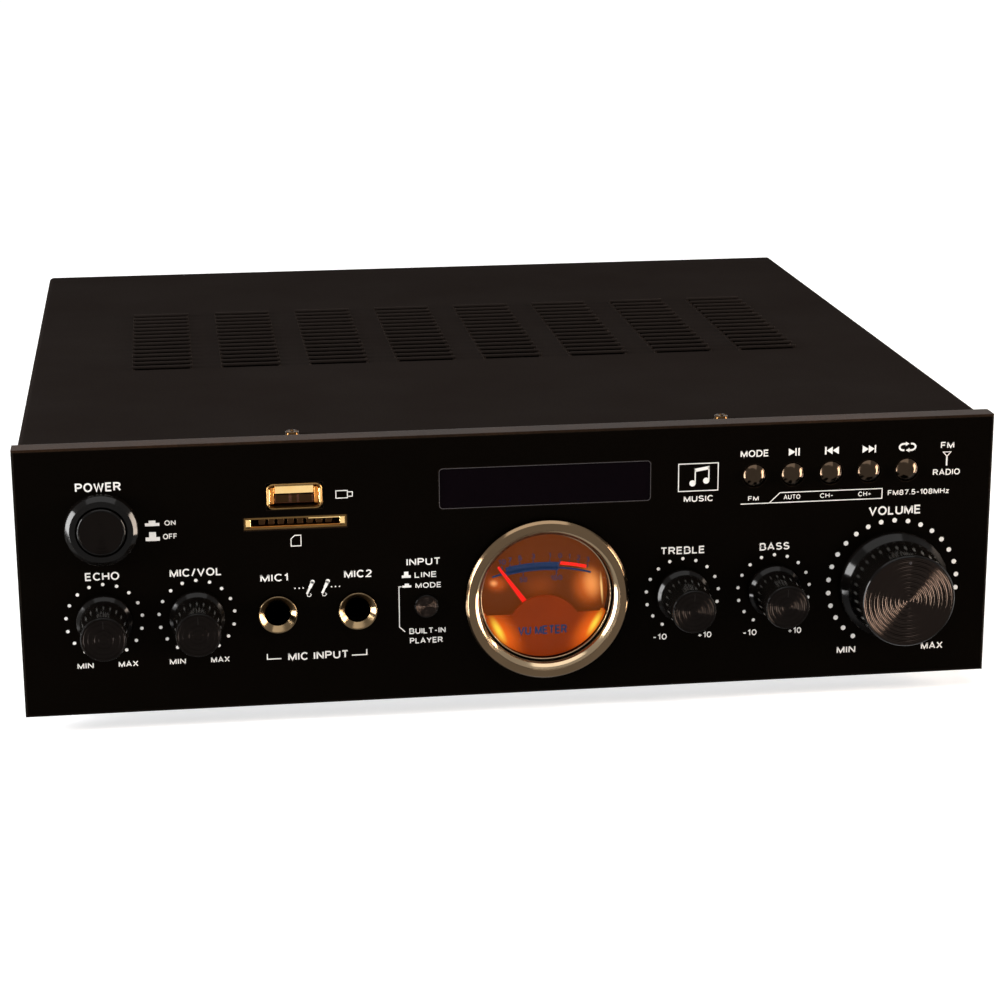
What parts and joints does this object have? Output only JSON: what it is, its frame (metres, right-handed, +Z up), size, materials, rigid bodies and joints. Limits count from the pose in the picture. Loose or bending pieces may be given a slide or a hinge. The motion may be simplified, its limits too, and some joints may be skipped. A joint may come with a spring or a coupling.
{
  "type": "karaoke amplifier",
  "caption": "Compact karaoke amplifier: louvred steel cabinet and glossy front panel with knobs, push buttons, microphone jacks, media sockets and a round level meter.",
  "frame": {"origin": "on the floor under the middle of the whole amplifier's box", "axes": "+X to the right as seen from the front, +Y from the front panel to the back, +Z up"},
  "size_m": [0.2606, 0.2748, 0.0774],
  "materials": {
    "panel_black": "gloss",
    "cover_paint": "satin",
    "zinc_sheet": "satin",
    "rear_paint": "satin",
    "screw_zinc": "satin",
    "foot_rubber": "matte",
    "knob_black": "gloss",
    "shaft_metal": "satin",
    "pot_metal": "satin",
    "pcb": "satin",
    "component_black": "satin",
    "button_chrome": "polished",
    "ring_black": "gloss",
    "jack_chrome": "polished",
    "bezel_chrome": "polished",
    "clear_lens": "clear",
    "window_dark": "clear",
    "case_black": "satin",
    "dial_amber": "satin",
    "mask_amber": "satin",
    "needle_red": "painted",
    "lamp_glass": "clear",
    "magnet_metal": "satin",
    "socket_metal": "polished",
    "display_black": "gloss",
    "core_steel": "satin",
    "winding_tape": "satin",
    "heatsink_aluminium": "satin",
    "lever_red": "gloss",
    "lever_black": "gloss",
    "phono_metal": "polished"
  },
  "bodies": {
    "cabinet": {"front_panel": "panel_black", "top_cover": "cover_paint", "chassis_tray": "zinc_sheet", "rear_panel": "rear_paint", "cover_screws": "screw_zinc", "inner_screws": "screw_zinc", "feet": "foot_rubber", "small_potentiometers": "pot_metal", "volume_potentiometer": "pot_metal", "potentiometer_nuts": "pot_metal", "control_board": "pcb", "player_board": "pcb", "main_board": "pcb", "mic_jacks": "jack_chrome", "mic_jack_nuts": "jack_chrome", "key_switches": "component_black", "input_switch": "component_black", "power_switch": "component_black", "power_button_ring": "ring_black", "meter_bezel": "bezel_chrome", "meter_lens": "clear_lens", "meter_case": "case_black", "meter_dial": "dial_amber", "meter_mask": "mask_amber", "meter_movement": "magnet_metal", "meter_lamps": "lamp_glass", "display_window": "window_dark", "display_module": "display_black", "flash_drive_socket": "socket_metal", "memory_card_slot": "socket_metal", "transformer_core": "core_steel", "transformer_winding": "winding_tape", "heatsink": "heatsink_aluminium", "amplifier_chips": "component_black", "filter_capacitors": "component_black", "speaker_terminal_block": "component_black", "phono_jacks": "phono_metal", "mains_inlet": "component_black"},
    "echo_control": {"echo_knob": "knob_black", "echo_shaft": "shaft_metal"},
    "mic_volume_control": {"mic_volume_knob": "knob_black", "mic_volume_shaft": "shaft_metal"},
    "treble_control": {"treble_knob": "knob_black", "treble_shaft": "shaft_metal"},
    "bass_control": {"bass_knob": "knob_black", "bass_shaft": "shaft_metal"},
    "volume_control": {"volume_knob": "knob_black", "volume_shaft": "shaft_metal"},
    "power_button": {"power_button": "knob_black"},
    "input_button": {"input_button": "button_chrome"},
    "mode_button": {"mode_button": "button_chrome"},
    "play_button": {"play_button": "button_chrome"},
    "previous_button": {"previous_button": "button_chrome"},
    "next_button": {"next_button": "button_chrome"},
    "repeat_button": {"repeat_button": "button_chrome"},
    "meter_needle": {"meter_needle": "needle_red"},
    "left_positive_lever": {"left_positive_lever": "lever_red"},
    "left_negative_lever": {"left_negative_lever": "lever_black"},
    "right_positive_lever": {"right_positive_lever": "lever_red"},
    "right_negative_lever": {"right_negative_lever": "lever_black"}
  },
  "joints": [
    {"name": "echo_control_turn", "type": "hinge", "parent": "cabinet", "child": "echo_control", "pos_m": [-0.10835, -0.1224, 0.0309], "axis": [0, 1, 0], "range_deg": [-147, 147]},
    {"name": "mic_volume_control_turn", "type": "hinge", "parent": "cabinet", "child": "mic_volume_control", "pos_m": [-0.0843, -0.1224, 0.0309], "axis": [0, 1, 0], "range_deg": [-147, 147]},
    {"name": "treble_control_turn", "type": "hinge", "parent": "cabinet", "child": "treble_control", "pos_m": [0.0453, -0.1224, 0.0309], "axis": [0, 1, 0], "range_deg": [-147, 147]},
    {"name": "bass_control_turn", "type": "hinge", "parent": "cabinet", "child": "bass_control", "pos_m": [0.0704, -0.1224, 0.0309], "axis": [0, 1, 0], "range_deg": [-147, 147]},
    {"name": "volume_control_turn", "type": "hinge", "parent": "cabinet", "child": "volume_control", "pos_m": [0.1034, -0.1224, 0.0311], "axis": [0, 1, 0], "range_deg": [-144, 144]},
    {"name": "power_button_push", "type": "slide", "parent": "cabinet", "child": "power_button", "axis": [0, 1, 0], "range_m": [0, 0.003], "stiffness_N_per_m": 800, "springref_m": -0.002},
    {"name": "input_button_push", "type": "slide", "parent": "cabinet", "child": "input_button", "axis": [0, 1, 0], "range_m": [0, 0.0025], "stiffness_N_per_m": 500, "springref_m": -0.002},
    {"name": "mode_button_push", "type": "slide", "parent": "cabinet", "child": "mode_button", "axis": [0, 1, 0], "range_m": [0, 0.0005], "stiffness_N_per_m": 400, "springref_m": -0.002},
    {"name": "play_button_push", "type": "slide", "parent": "cabinet", "child": "play_button", "axis": [0, 1, 0], "range_m": [0, 0.0005], "stiffness_N_per_m": 400, "springref_m": -0.002},
    {"name": "previous_button_push", "type": "slide", "parent": "cabinet", "child": "previous_button", "axis": [0, 1, 0], "range_m": [0, 0.0005], "stiffness_N_per_m": 400, "springref_m": -0.002},
    {"name": "next_button_push", "type": "slide", "parent": "cabinet", "child": "next_button", "axis": [0, 1, 0], "range_m": [0, 0.0005], "stiffness_N_per_m": 400, "springref_m": -0.002},
    {"name": "repeat_button_push", "type": "slide", "parent": "cabinet", "child": "repeat_button", "axis": [0, 1, 0], "range_m": [0, 0.0005], "stiffness_N_per_m": 400, "springref_m": -0.002},
    {"name": "needle_swing", "type": "hinge", "parent": "cabinet", "child": "meter_needle", "pos_m": [0.0084, -0.1166, 0.0215], "axis": [0, 1, 0], "range_deg": [0, 78], "stiffness_Nm_per_rad": 0.00002, "springref_deg": -17.19},
    {"name": "left_positive_lever_press", "type": "hinge", "parent": "cabinet", "child": "left_positive_lever", "pos_m": [0.04125, 0.1219, 0.033], "axis": [-1, 0, 0], "range_deg": [0, 15], "stiffness_Nm_per_rad": 0.05, "springref_deg": -17.19},
    {"name": "left_negative_lever_press", "type": "hinge", "parent": "cabinet", "child": "left_negative_lever", "pos_m": [0.05775, 0.1219, 0.033], "axis": [-1, 0, 0], "range_deg": [0, 15], "stiffness_Nm_per_rad": 0.05, "springref_deg": -17.19},
    {"name": "right_positive_lever_press", "type": "hinge", "parent": "cabinet", "child": "right_positive_lever", "pos_m": [0.07425, 0.1219, 0.033], "axis": [-1, 0, 0], "range_deg": [0, 15], "stiffness_Nm_per_rad": 0.05, "springref_deg": -17.19},
    {"name": "right_negative_lever_press", "type": "hinge", "parent": "cabinet", "child": "right_negative_lever", "pos_m": [0.09075, 0.1219, 0.033], "axis": [-1, 0, 0], "range_deg": [0, 15], "stiffness_Nm_per_rad": 0.05, "springref_deg": -17.19}
  ]
}
